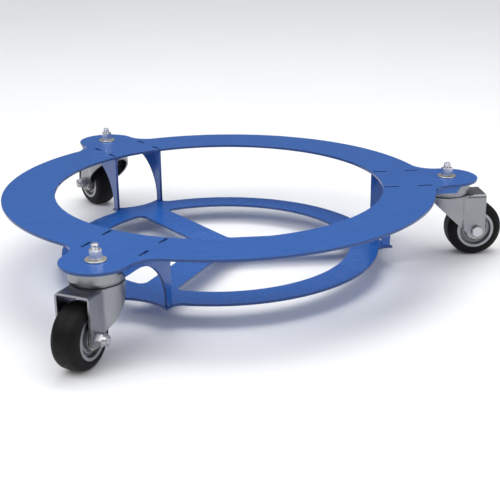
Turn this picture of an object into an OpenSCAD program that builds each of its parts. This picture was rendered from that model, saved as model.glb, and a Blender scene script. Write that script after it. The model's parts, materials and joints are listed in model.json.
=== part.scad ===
// Drum dolly: a flat ring deck that a steel drum drops through, a lower plate that the drum
// stands on, three pairs of upright gussets between them, and a swivel caster on each ear.
// Origin: centre of the lower plate's top face. +Z is up, and caster 1 lies on +X.

/* [Deck] */
// Diameter of the opening that the drum drops through
drum_opening_d = 609.6; // [420:0.1:800]
// Width of the flat ring around the opening
ring_w = 96.2; // [80:0.1:130]
// Thickness of the ring and of the lower plate
plate_t = 4.8; // [3:0.1:8]
// Clear height between the lower plate and the ring
deck_gap = 110.6; // [90:0.1:150]
// Distance from the ring's outer edge out to each swivel axis
caster_out = 35.3; // [28:0.1:60]
// Metal outside the gusset at an ear's widest point
ear_margin = 3.1; // [2:0.1:12]
// Radius of the blend between an ear and the ring
ear_blend_r = 45; // [20:0.5:70]

/* [Lower plate] */
// Step from the drum opening in to the lower plate's rim
base_inset = 4.8; // [2:0.1:12]
// Width of the lower plate's rim band
base_band_w = 54; // [35:0.5:80]
// Width of each of the three arms that cross the lower plate
base_arm_w = 61; // [35:0.5:90]
// Corner radius of the three windows
window_corner_r = 12.7; // [5:0.1:25]
// Radius of the scallop between the two lobes at each ear
scallop_r = 96.5; // [80:0.5:130]
// Metal outside a gusset's foot, sideways
lobe_margin = 1.4; // [0.5:0.1:8]
// Metal outside a gusset's foot, outwards
scallop_margin = 0.5; // [0.2:0.1:5]
// Radius of the blend between a lobe and the rim
lobe_blend_r = 20; // [8:0.5:26]

/* [Gussets] */
// Thickness of a gusset
gusset_t = 4.8; // [3:0.1:8]
// Width of the upright leg
leg_w = 15.9; // [10:0.1:20]
// Depth of the arm under the ear
arm_h = 12.7; // [8:0.1:25]
// Height of the leg's straight foot below the curve
foot_h = 7.9; // [4:0.1:20]
// Gap between the drum opening and the gussets' inner edges
drum_gap = 0.5; // [0.2:0.1:4]
// Metal between the arm's end and the ear's edge
arm_end_margin = 5; // [2:0.1:10]
// How far the arm's end slants back
arm_end_slant = 9; // [3:0.5:11]
// Length of each of the two tabs that stand in the ring's slots
tab_len = 26; // [15:0.5:30]
// Distance from the gusset's inner edge to its first tab
tab_inset = 3.5; // [2:0.1:8]
// Distance between the starts of the two tabs
tab_pitch = 62.8; // [45:0.1:75]
// Length of the foot tab that stands in the lower plate's slot
foot_tab_len = 9.9; // [6:0.1:12]
// Depth of a tab's end below the ring's top face
tab_recess = 1.5; // [0:0.1:2]
// Gap between a tab and its slot, all round
slot_clear = 0.3; // [0.05:0.05:0.5]

/* [Caster stem] */
// Diameter of the threaded stem
stem_d = 12.7; // [8:0.1:18]
// Height of the stem's end above the ring
stem_rise = 27.3; // [24:0.1:45]
// Radial gap between the stem and its hole in the ring
stem_clear = 0.4; // [0.2:0.1:1]
// Thickness of the flat washer
washer_t = 2.5; // [1.5:0.1:4]
// Width of the washer outside the stem
washer_w = 11.1; // [6:0.1:14]
// Height of the stem's nut
stem_nut_h = 15.5; // [10:0.1:18.8]

/* [Swivel head] */
// Diameter of the swivel cap under the ear
cap_d = 89; // [76:0.5:110]
// Gap between the cap and the gussets beside it
cap_side_gap = 5.6; // [3:0.1:12]
// Height from the ear down to the fork's crown
head_h = 26; // [25:0.1:34]
// Wall of the swivel cap
cap_t = 3; // [2:0.1:3.6]
// Radius lost by the cap where it necks in at its foot
cap_neck = 2.5; // [1:0.1:4]
// Gap between the cap's foot and the fork's crown
cap_foot_gap = 0.7; // [0.4:0.1:1.5]
// Ball diameter of the upper row
upper_ball_d = 7.94; // [6:0.01:8.5]
// Pitch radius of the upper row of balls
upper_row_r = 31; // [28:0.1:32]
// Ball diameter of the lower row
lower_ball_d = 6.35; // [5:0.01:7]
// Pitch radius of the lower row of balls
lower_row_r = 20; // [18:0.1:22]
// Thickness of the kingpin's wall outside the stem's size
kingpin_wall = 2.65; // [1.5:0.05:3.5]

/* [Fork and wheel] */
// Sheet thickness of the fork
fork_t = 3.5; // [2.5:0.1:5]
// Radius lost from the cap to the fork's round back
fork_back_step = 1; // [0.5:0.1:3]
// Outside bend radius along the top of the fork's sides
fork_bend_r = 6; // [5.5:0.1:10]
// Radius of the fork's feet about the axle
fork_foot_r = 15.5; // [13:0.1:18]
// Slope of the fork's lower edge, in degrees
fork_slope = 43; // [38:0.5:46]
// Distance from the swivel axis to the axle
trail = 56; // [46:0.5:68]
// Outer diameter of the wheel
wheel_d = 106; // [88:0.5:128]
// Width of the tyre
tyre_w = 47.3; // [39:0.1:57]
// Radius of the tyre's shoulders
tyre_shoulder_r = 13.6; // [8:0.1:15]
// Thickness of the rubber over the wheel core
tyre_depth = 17.3; // [15:0.1:20]
// Gap between the tyre and the fork's crown
wheel_top_gap = 14.8; // [10:0.1:25]
// Gap between the tyre and each side of the fork
wheel_side_gap = 3.35; // [2.5:0.05:6]
// Diameter of the axle bolt
axle_d = 12.7; // [8:0.1:15.2]
// Thickness of the axle bolt's head
bolt_head_h = 6.5; // [5:0.1:9]
// Height of the hexagon of the axle's lock nut
axle_hex_h = 13.5; // [10:0.1:18]
// Height of the round collar beyond that hexagon
axle_collar_h = 5.5; // [3:0.1:8]
// Length of the axle bolt that shows past its nut
bolt_end = 1.5; // [1.1:0.1:6]
// Wall of the sleeve that the wheel turns on
sleeve_wall = 3.1; // [2:0.1:3.5]
// Diameter of the bearing rollers
roller_d = 5; // [4:0.1:5.5]
// Thickness of each thrust washer beside the hub
thrust_t = 1.6; // [1:0.1:2.4]
// Radial running gap of rollers and thrust washers
run_clear = 0.1; // [0.05:0.01:0.15]

/* [Hidden] */
$fn = 96;
eps = 0.01;
blend_bite = 0.02;
CASTERS = [1, 2, 3];
SIDES = [["left", 1], ["right", -1]];
PER_CASTER = ["caster_stem", "stem_washer", "stem_nut", "swivel_cap", "lower_race", "fork",
    "swivel_balls", "axle_bolt", "axle_nut", "axle_sleeve", "thrust_washers", "wheel_core",
    "tyre", "roller_bearing"];

// Deck
opening_r = drum_opening_d / 2;
ring_r = opening_r + ring_w;
caster_r = ring_r + caster_out;
gusset_y = cap_d / 2 + cap_side_gap + gusset_t / 2;
gusset_in_y = gusset_y - gusset_t / 2;
gusset_out_y = gusset_y + gusset_t / 2;
gusset_x = sqrt(pow(opening_r + drum_gap, 2) - pow(gusset_in_y, 2));
ear_r = gusset_out_y + ear_margin;
foot_tab_x = gusset_x + (leg_w - foot_tab_len) / 2;

// Lower plate
base_r = opening_r - base_inset;
window_r = base_r - base_band_w;
lobe_y = gusset_out_y + lobe_margin;
scallop_x = gusset_x + leg_w + scallop_margin + sqrt(pow(scallop_r, 2) - pow(gusset_in_y, 2));
lobe_tip_x = scallop_x - sqrt(pow(scallop_r, 2) - pow(lobe_y, 2));

// Swivel head, measured down from the ear's underside
cap_r = cap_d / 2;
neck_z = -(head_h - cap_foot_gap);
neck_h = 5.3;
kingpin_r = stem_d / 2 + kingpin_wall;
shoulder_w = 4;
shoulder_h = 5;
race_half_w = 5.5;
race_gap = 0.35;
ball_lift = 0.03;
upper_groove_r = upper_ball_d / 2 + race_gap;
lower_groove_r = lower_ball_d / 2 + race_gap;
crown_race_h = upper_groove_r * 0.9;
upper_groove_z = -head_h + upper_groove_r - 1;
cap_race_z = upper_groove_z + upper_groove_r * 0.6;
crown_z = -(head_h + fork_t);
lower_groove_z = crown_z - lower_groove_r + 0.5;
lower_race_z = lower_groove_z - lower_groove_r * 0.6;
lower_race_t = 3.4;
lower_race_r = lower_row_r + race_half_w + 1.5;
peen_h = 3;
peen_w = 3.6;
balls_upper = 18;
balls_lower = 12;

// Fork and wheel
fork_in_y = tyre_w / 2 + wheel_side_gap;
fork_out_y = fork_in_y + fork_t;
fork_back_r = cap_r - fork_back_step;
axle_z = crown_z - wheel_top_gap - wheel_d / 2;
fork_front_step = 0.3;
fork_front_x = trail + fork_foot_r + fork_front_step;
stem_hole_r = kingpin_r + 0.8;
fork_low_z = axle_z - fork_foot_r;
core_r = wheel_d / 2 - tyre_depth;
axle_fit = 0.05;
sleeve_r = axle_d / 2 + sleeve_wall;
roller_row_r = sleeve_r + run_clear + roller_d / 2;
hub_bore_r = roller_row_r + roller_d / 2 + run_clear;
hub_wall = 4.4;
hub_r = hub_bore_r + hub_wall;
hub_end_play = 0.3;
hub_half = fork_in_y - thrust_t - hub_end_play;
core_inset = 0.45;
core_half = tyre_w / 2 - core_inset;
flange_w = 6.6;
dish_depth = 7;
rollers = 10;
nut_af = 1.5;
hex_face_step = 0.3;
hex_chamfer = 0.9;
collar_step = 0.4;
collar_taper = 0.2;
collar_round = 1;
hex_corner = 2 / sqrt(3);
blue = [0.16, 0.36, 0.72];
zinc = [0.62, 0.64, 0.68];
bright = [0.82, 0.83, 0.85];

function ear_angle(k) = (k - 1) * 120;

function rotated(p, a) = [p[0] * cos(a) - p[1] * sin(a), p[0] * sin(a) + p[1] * cos(a)];

module at_ear(k) {
    rotate([0, 0, ear_angle(k)]) children();
}

module at_caster(k) {
    at_ear(k) translate([caster_r, 0, deck_gap]) children();
}

module at_axle() {
    translate([trail, 0, axle_z]) rotate([90, 0, 0]) children();
}

// A concave blend of radius r: the corner between two edges that touch the blend circle at p and q.
module blend_pad(corner, p, q, centre, r) {
    difference() {
        polygon([corner, p, centre, q]);
        translate(centre) circle(r);
    }
}

// ---- Deck ----

// Centre of the blend circle that touches the ring's edge and an ear's edge from outside.
function ear_blend_centre() =
    let (r1 = ring_r + ear_blend_r, r2 = ear_r + ear_blend_r)
    let (x = (r1 * r1 - r2 * r2 + caster_r * caster_r) / (2 * caster_r))
    [x, sqrt(r1 * r1 - x * x)];

// Fills the corner between the ring's edge and an ear's edge, up to the blend.
module ear_blend() {
    c = ear_blend_centre();
    on_ring = c * ring_r / (ring_r + ear_blend_r);
    on_ear = [caster_r, 0] + (c - [caster_r, 0]) * ear_r / (ear_r + ear_blend_r);
    difference() {
        polygon([[ring_r - ear_r, -eps], [caster_r, -eps], on_ear, c, on_ring]);
        translate(c) circle(ear_blend_r + blend_bite);
    }
}

module tab_slots(clear) {
    for (i = [0, 1])
        translate([gusset_x + tab_inset + i * tab_pitch - clear, gusset_in_y - clear])
            square([tab_len + 2 * clear, gusset_t + 2 * clear]);
}

module top_ring() {
    color(blue) translate([0, 0, deck_gap]) linear_extrude(plate_t) difference() {
        union() {
            circle(ring_r, $fn = 240);
            for (k = CASTERS) at_ear(k) {
                translate([caster_r, 0]) circle(ear_r);
                ear_blend();
                mirror([0, 1]) ear_blend();
            }
        }
        circle(opening_r, $fn = 240);
        for (k = CASTERS) at_ear(k) {
            translate([caster_r, 0]) circle(stem_d / 2 + stem_clear);
            tab_slots(slot_clear);
            mirror([0, 1]) tab_slots(slot_clear);
        }
    }
}

module lobe_blend() {
    y = lobe_y + lobe_blend_r;
    r = base_r + lobe_blend_r;
    x = sqrt(r * r - y * y);
    blend_pad([base_r - base_band_w / 2, 0], [x, lobe_y], [x, y] * base_r / r, [x, y], lobe_blend_r);
}

// One window of the lower plate, between the arm on +X and the next one, with rounded corners.
module window() {
    a = base_arm_w / 2;
    f = window_corner_r;
    rim = [sqrt(pow(window_r - f, 2) - pow(a + f, 2)), a + f];
    hub = [(a + f) / tan(60), a + f];
    difference() {
        intersection() {
            circle(window_r, $fn = 240);
            polygon([[a / tan(60), a], [2 * window_r, a], 4 * window_r * [cos(60), sin(60)],
                rotated([2 * window_r, -a], 120)]);
        }
        for (m = [0, 1]) mirror(m * [-sin(60), cos(60)])
            blend_pad([window_r + f, a - f], [rim[0], a], rim * window_r / (window_r - f), rim, f);
        blend_pad([0, 0], [hub[0], a], rotated([hub[0], -a], 120), hub, f);
    }
}

module base_plate() {
    color(blue) translate([0, 0, -plate_t]) linear_extrude(plate_t) difference() {
        union() {
            circle(base_r, $fn = 240);
            for (k = CASTERS) at_ear(k) {
                translate([base_r - base_band_w / 2, -lobe_y])
                    square([lobe_tip_x - base_r + base_band_w / 2, 2 * lobe_y]);
                lobe_blend();
                mirror([0, 1]) lobe_blend();
            }
        }
        for (k = CASTERS) at_ear(k) {
            window();
            translate([scallop_x, 0]) circle(scallop_r, $fn = 160);
            for (m = [0, 1]) mirror([0, m])
                translate([foot_tab_x - slot_clear, gusset_in_y - slot_clear])
                    square([foot_tab_len + 2 * slot_clear, gusset_t + 2 * slot_clear]);
        }
    }
}

module gusset_outline() {
    curve_r = deck_gap - arm_h - foot_h;
    curve_x = gusset_x + leg_w + curve_r;
    end_x = caster_r + sqrt(ear_r * ear_r - gusset_out_y * gusset_out_y) - arm_end_margin;
    difference() {
        polygon([[gusset_x, 0], [curve_x, 0], [curve_x, deck_gap - arm_h],
            [max(curve_x, end_x - arm_end_slant), deck_gap - arm_h], [end_x, deck_gap],
            [gusset_x, deck_gap]]);
        translate([curve_x, foot_h]) circle(curve_r, $fn = 160);
        translate([gusset_x + leg_w, -eps]) square([curve_r + eps, foot_h + eps]);
    }
    for (i = [0, 1])
        translate([gusset_x + tab_inset + i * tab_pitch, deck_gap - eps])
            square([tab_len, plate_t - tab_recess + eps]);
    translate([foot_tab_x, tab_recess - plate_t])
        square([foot_tab_len, plate_t - tab_recess + eps]);
}

module gusset(side) {
    color(blue) translate([0, side * gusset_y, 0]) rotate([90, 0, 0])
        linear_extrude(gusset_t, center = true) gusset_outline();
}

// ---- Fasteners ----

module hex_prism(af, h) {
    intersection() {
        cylinder(r = af / 2 * hex_corner, h = h, $fn = 6);
        rotate_extrude() polygon([[0, 0], [af / 2 - hex_face_step, 0],
            [af / 2 * hex_corner, hex_chamfer], [af / 2 * hex_corner, h - hex_chamfer],
            [af / 2 - hex_face_step, h], [0, h]]);
    }
}

module nut_bore(d, h) {
    translate([0, 0, -1]) cylinder(d = d + 2 * axle_fit, h = h + 2);
}

// A plain hexagon nut of height h that stands on z = 0.
module hex_nut(d, h) {
    difference() {
        hex_prism(d * nut_af, h);
        nut_bore(d, h);
    }
}

// A lock nut that stands on z = 0: a hexagon with a round collar beyond it.
module lock_nut(d, hex_h, collar_h) {
    r = d * nut_af / 2 - collar_step;
    h = hex_h + collar_h;
    difference() {
        union() {
            hex_prism(d * nut_af, hex_h);
            rotate_extrude() polygon([[0, hex_h - 1], [r, hex_h - 1],
                [r - collar_taper, h - collar_round], [r - collar_taper - collar_round, h],
                [0, h]]);
        }
        nut_bore(d, h);
    }
}

// ---- Caster, in its own frame: the ear's underside at z = 0 and the wheel trailing to +X ----

module caster_stem() {
    top = plate_t + stem_rise;
    r = stem_d / 2;
    foot = lower_race_z - lower_race_t;
    color(bright) rotate_extrude() polygon([[0, top], [r - 1, top], [r, top - 1], [r, -cap_t],
        [kingpin_r + shoulder_w, -cap_t], [kingpin_r + shoulder_w, -cap_t - shoulder_h],
        [kingpin_r, -cap_t - shoulder_h], [kingpin_r, lower_race_z], [r, lower_race_z],
        [r, foot], [r + peen_w, foot], [r + peen_w - 1.5, foot - peen_h], [0, foot - peen_h]]);
}

module stem_washer() {
    color(bright) translate([0, 0, plate_t]) difference() {
        cylinder(r = stem_d / 2 + washer_w, h = washer_t);
        translate([0, 0, -1]) cylinder(r = stem_d / 2 + stem_clear, h = washer_t + 2);
    }
}

module stem_nut() {
    color(bright) translate([0, 0, plate_t + washer_t]) hex_nut(stem_d, stem_nut_h);
}

module ball_groove(row_r, z, groove_r) {
    rotate_extrude() translate([row_r, z]) circle(groove_r, $fn = 48);
}

module swivel_cap() {
    hole_r = stem_d / 2 + stem_clear;
    inner_r = cap_r - cap_t;
    lip_r = inner_r - cap_neck;
    race_in = upper_row_r - race_half_w;
    race_out = upper_row_r + race_half_w;
    color(zinc) difference() {
        rotate_extrude() polygon([[hole_r, 0], [cap_r, 0], [cap_r, neck_z + neck_h],
            [cap_r - cap_neck, neck_z], [lip_r, neck_z], [inner_r, neck_z + neck_h],
            [inner_r, -cap_t], [race_out, -cap_t], [race_out, cap_race_z],
            [race_in, cap_race_z], [race_in, -cap_t], [hole_r, -cap_t]]);
        ball_groove(upper_row_r, upper_groove_z, upper_groove_r);
    }
}

module lower_race() {
    hole_r = stem_d / 2 + axle_fit;
    z = lower_race_z - lower_race_t;
    color(zinc) difference() {
        rotate_extrude() polygon([[hole_r, z], [lower_race_r, z], [lower_race_r, lower_race_z],
            [lower_row_r + race_half_w, lower_race_z],
            [lower_row_r + race_half_w, lower_race_z + 1],
            [lower_row_r - race_half_w, lower_race_z + 1],
            [lower_row_r - race_half_w, lower_race_z], [hole_r, lower_race_z]]);
        ball_groove(lower_row_r, lower_groove_z, lower_groove_r);
    }
}

module ball_row(count, row_r, d) {
    for (i = [0:count - 1])
        rotate([0, 0, i * 360 / count]) translate([row_r, 0, 0]) sphere(d = d, $fn = 32);
}

module swivel_balls() {
    color(bright) {
        translate([0, 0, upper_groove_z - race_gap + ball_lift])
            ball_row(balls_upper, upper_row_r, upper_ball_d);
        translate([0, 0, lower_groove_z + race_gap - ball_lift])
            ball_row(balls_lower, lower_row_r, lower_ball_d);
    }
}

// The fork's side view: top edge, upright front edge, round foot about the axle, sloping lower edge.
module fork_side() {
    foot = [trail, axle_z];
    touch = foot + fork_foot_r * [-sin(fork_slope), -cos(fork_slope)];
    back_x = -fork_back_r - 1;
    back_z = crown_z - fork_t / 2;
    slope_x = touch[0] - (back_z - touch[1]) / tan(fork_slope);
    polygon([[back_x, 1], [fork_front_x, 1], [fork_front_x, axle_z], foot, touch,
        [slope_x, back_z], [back_x, back_z]]);
    translate(foot) circle(fork_foot_r);
    translate(foot) square([fork_front_x - trail, fork_foot_r / 4]);
}

// The fork's solid envelope, drawn in by inset: a round back about the swivel axis and a flat-sided
// channel in front of it, which is bent over along its top edges.
module fork_body(inset, front_x, low_z) {
    top = -head_h - inset;
    y = fork_out_y - inset;
    bend = fork_bend_r - inset;
    translate([0, 0, low_z]) cylinder(r = fork_back_r - inset, h = top - low_z);
    rotate([90, 0, 90]) linear_extrude(front_x) {
        translate([-y, low_z]) square([2 * y, top - bend - low_z]);
        translate([bend - y, low_z]) square([2 * (y - bend), top - low_z]);
        for (side = [-1, 1])
            translate([side * (y - bend), top - bend]) circle(bend, $fn = 48);
    }
}

module crown_races() {
    rotate_extrude() polygon([[upper_row_r - race_half_w, -head_h - 1],
        [upper_row_r + race_half_w, -head_h - 1],
        [upper_row_r + race_half_w, -head_h + crown_race_h - 1],
        [upper_row_r - race_half_w, -head_h + crown_race_h - 1]]);
    rotate_extrude() polygon([[lower_row_r - race_half_w, crown_z + 1],
        [lower_row_r + race_half_w, crown_z + 1],
        [lower_row_r + race_half_w, lower_groove_z + lower_groove_r * 0.4],
        [lower_row_r - race_half_w, lower_groove_z + lower_groove_r * 0.4]]);
}

module fork() {
    deep = fork_low_z - 5;
    color(zinc) difference() {
        union() {
            intersection() {
                difference() {
                    fork_body(0, fork_front_x, deep);
                    fork_body(fork_t, fork_front_x + 1, deep - 1);
                }
                rotate([90, 0, 0]) linear_extrude(2 * fork_back_r + 2, center = true)
                    fork_side();
            }
            crown_races();
        }
        ball_groove(upper_row_r, upper_groove_z, upper_groove_r);
        ball_groove(lower_row_r, lower_groove_z, lower_groove_r);
        translate([0, 0, crown_z - 1]) cylinder(r = stem_hole_r, h = fork_t + 2);
        at_axle() cylinder(d = axle_d + 2 * axle_fit, h = 4 * fork_out_y, center = true);
    }
}

// ---- Axle and wheel, in the axle's frame: the axis on z, and +z towards the bolt's head ----

module axle_bolt() {
    shank = 2 * fork_out_y + axle_hex_h + axle_collar_h + bolt_end;
    color(bright) at_axle() {
        translate([0, 0, fork_out_y]) hex_prism(axle_d * nut_af, bolt_head_h);
        translate([0, 0, fork_out_y - shank]) cylinder(d1 = axle_d - 2, d2 = axle_d, h = 1);
        translate([0, 0, fork_out_y - shank + 1]) cylinder(d = axle_d, h = shank - 1 + eps);
    }
}

module axle_nut() {
    color(bright) at_axle() translate([0, 0, -fork_out_y]) mirror([0, 0, 1])
        lock_nut(axle_d, axle_hex_h, axle_collar_h);
}

module tube(r_out, r_in, h) {
    difference() {
        cylinder(r = r_out, h = h, center = true);
        cylinder(r = r_in, h = h + 2, center = true);
    }
}

module axle_sleeve() {
    color(zinc) at_axle() tube(sleeve_r, axle_d / 2 + axle_fit, 2 * fork_in_y);
}

module thrust_washers() {
    color(zinc) for (side = [-1, 1])
        at_axle() translate([0, 0, side * (fork_in_y - thrust_t / 2)])
            tube(hub_r - 1, sleeve_r + axle_fit, thrust_t);
}

module roller_bearing() {
    cage_t = 2;
    cage_half = hub_half - 3;
    color(bright) at_axle() {
        for (i = [0:rollers - 1])
            rotate([0, 0, i * 360 / rollers]) translate([roller_row_r, 0, 0])
                cylinder(d = roller_d, h = 2 * cage_half, center = true);
        for (side = [-1, 1])
            translate([0, 0, side * (cage_half + cage_t / 2 - eps)])
                tube(hub_bore_r - 3 * run_clear, sleeve_r + 3 * run_clear, cage_t);
    }
}

module wheel_core() {
    groove_in = core_r - flange_w;
    web_half = core_half - dish_depth;
    color(zinc) at_axle() rotate_extrude() polygon([
        [hub_bore_r, -hub_half], [hub_r, -hub_half], [hub_r + 2, -web_half],
        [groove_in - 1.5, -web_half], [groove_in, -core_half], [core_r, -core_half],
        [core_r, core_half], [groove_in, core_half], [groove_in - 1.5, web_half],
        [hub_r + 2, web_half], [hub_r, hub_half], [hub_bore_r, hub_half]]);
}

module tyre() {
    r = wheel_d / 2;
    half = tyre_w / 2;
    s = tyre_shoulder_r;
    color([0.07, 0.07, 0.07]) at_axle() rotate_extrude() difference() {
        union() {
            translate([0, s - half]) square([r, tyre_w - 2 * s]);
            translate([0, -half]) square([r - s, tyre_w]);
            for (side = [-1, 1])
                translate([r - s, side * (half - s)]) circle(s, $fn = 64);
        }
        translate([-1, -half - 1]) square([core_r + 1, tyre_w + 2]);
    }
}

top_ring();
base_plate();
for (k = CASTERS) for (s = SIDES)
    at_ear(k) gusset(s[1]);
for (k = CASTERS) {
    at_caster(k) caster_stem();
    at_caster(k) stem_washer();
    at_caster(k) stem_nut();
    at_caster(k) swivel_cap();
    at_caster(k) lower_race();
    at_caster(k) fork();
    at_caster(k) swivel_balls();
    at_caster(k) axle_bolt();
    at_caster(k) axle_nut();
    at_caster(k) axle_sleeve();
    at_caster(k) thrust_washers();
    at_caster(k) wheel_core();
    at_caster(k) tyre();
    at_caster(k) roller_bearing();
}
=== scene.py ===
"""The looks of a three-eared drum dolly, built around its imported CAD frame.

Every sub-assembly is a class with its sizes in millimetres. Meshes are made in metres, in the
frame of the CAD nodes: the origin is the centre of the lower plate's top face and +Z is up.
"""
import json
import logging
import math
from dataclasses import dataclass, field
from enum import Enum
from typing import Iterable, Sequence

import bmesh
import bpy
from mathutils import Euler, Matrix, Vector

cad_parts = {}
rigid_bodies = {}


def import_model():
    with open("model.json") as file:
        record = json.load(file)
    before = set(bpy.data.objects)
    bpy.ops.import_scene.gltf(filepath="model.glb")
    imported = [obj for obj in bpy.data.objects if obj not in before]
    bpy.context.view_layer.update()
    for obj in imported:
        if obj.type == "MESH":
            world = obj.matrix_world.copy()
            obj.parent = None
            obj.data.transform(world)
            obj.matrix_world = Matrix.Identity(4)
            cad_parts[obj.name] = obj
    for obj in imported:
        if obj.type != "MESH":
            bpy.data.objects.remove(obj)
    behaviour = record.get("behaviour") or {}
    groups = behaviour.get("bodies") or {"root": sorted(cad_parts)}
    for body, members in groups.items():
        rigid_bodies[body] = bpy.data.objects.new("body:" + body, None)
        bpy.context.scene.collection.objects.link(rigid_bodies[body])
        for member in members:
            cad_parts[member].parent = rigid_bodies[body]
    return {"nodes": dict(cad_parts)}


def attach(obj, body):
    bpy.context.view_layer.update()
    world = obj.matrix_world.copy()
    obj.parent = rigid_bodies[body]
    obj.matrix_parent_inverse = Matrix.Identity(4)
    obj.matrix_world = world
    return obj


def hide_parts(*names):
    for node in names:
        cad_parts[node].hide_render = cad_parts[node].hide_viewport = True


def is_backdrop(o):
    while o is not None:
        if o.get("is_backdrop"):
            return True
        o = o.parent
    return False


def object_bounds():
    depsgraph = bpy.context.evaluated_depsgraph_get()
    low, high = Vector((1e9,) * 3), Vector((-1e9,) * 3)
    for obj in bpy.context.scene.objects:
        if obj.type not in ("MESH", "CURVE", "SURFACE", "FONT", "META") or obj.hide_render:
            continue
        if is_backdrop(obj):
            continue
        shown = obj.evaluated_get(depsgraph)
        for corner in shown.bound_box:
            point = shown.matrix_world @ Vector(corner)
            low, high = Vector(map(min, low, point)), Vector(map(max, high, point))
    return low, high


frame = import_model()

logging.basicConfig(level=logging.INFO, format="%(message)s")
LOG = logging.getLogger("drum_dolly")

MM = 0.001
CASTERS = (1, 2, 3)
EAR_STEP = 2 * math.pi / 3
SHARP_ANGLE = math.radians(38)
HEX_SHARP_ANGLE = math.radians(28)
THREAD_SHARP_ANGLE = math.radians(50)
HEX_CHAMFER = math.radians(26)
HEX_FACE_STEP = 0.35
HEX_FACE_RING = 0.2
HEX_CORNER_FACTOR = 1.1480
SLIVER = 1e-8
PLATE_MERGE = 2e-6
FLAT_COSINE = 0.999
LONGEST_REACH = 0.46
LONGEST_SUPPORT = 0.25
HALF_THIRD = 60

Point = tuple[float, float]
Loop = list[Point]


class Slot(Enum):
    """Material slots of the record."""

    DECK = "deck_paint"
    CASTER = "caster_zinc"
    BRIGHT = "bright_zinc"
    BEARING = "bearing_steel"
    WHEEL = "wheel_zinc"
    TYRE = "tyre_rubber"


class Axis(Enum):
    """The axis that a turned piece is turned about, in a caster's own frame."""

    SWIVEL = "swivel"
    AXLE = "axle"


# ---------------------------------------------------------------- shader building


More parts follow.
